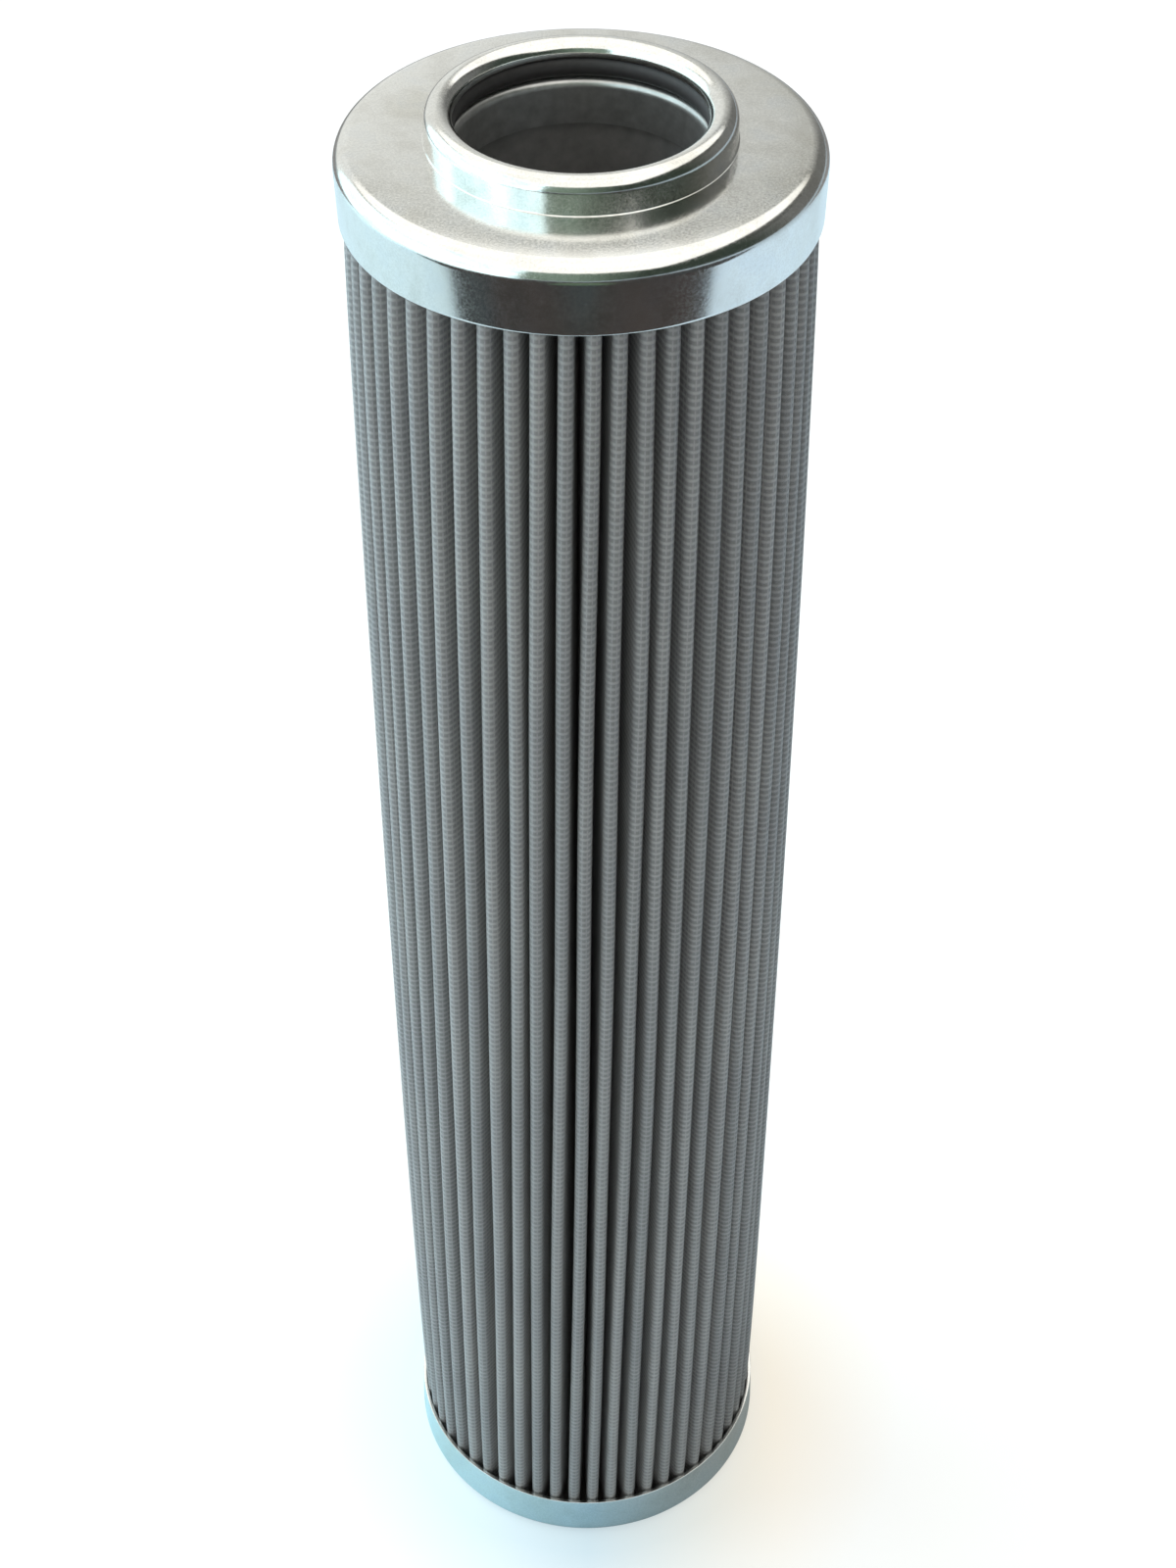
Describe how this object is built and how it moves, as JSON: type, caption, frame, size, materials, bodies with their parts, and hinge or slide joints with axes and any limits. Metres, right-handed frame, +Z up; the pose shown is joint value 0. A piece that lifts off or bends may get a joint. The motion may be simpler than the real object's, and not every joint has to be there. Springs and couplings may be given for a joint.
{
  "type": "pleated filter element",
  "caption": "Pleated cartridge filter element with a steel mesh pack, two pressed steel end caps and an open neck with an inner seal at one end.",
  "frame": {"origin": "middle of the closed end cap's outer face, on the floor that the element stands on", "axes": "+Z up the element's axis towards the open neck; X and Y lie in the closed face"},
  "size_m": [0.078, 0.078, 0.338],
  "materials": {
    "plated_steel": "bright zinc plated pressed sheet",
    "core_steel": "plated punched sheet",
    "woven_mesh": "woven steel wire, matt grey",
    "filter_fibre": "matt glass fibre sheet",
    "seal_rubber": "smooth black nitrile rubber",
    "potting_resin": "dark cast resin"
  },
  "bodies": {
    "root": {"open_end_cap": "plated_steel", "closed_end_cap": "plated_steel", "seal_ring": "seal_rubber", "seal_sleeve": "plated_steel", "core_tube": "core_steel", "outer_support_mesh": "woven_mesh", "filter_media": "filter_fibre", "inner_support_mesh": "woven_mesh", "open_end_potting": "potting_resin", "closed_end_potting": "potting_resin"}
  },
  "joints": []
}
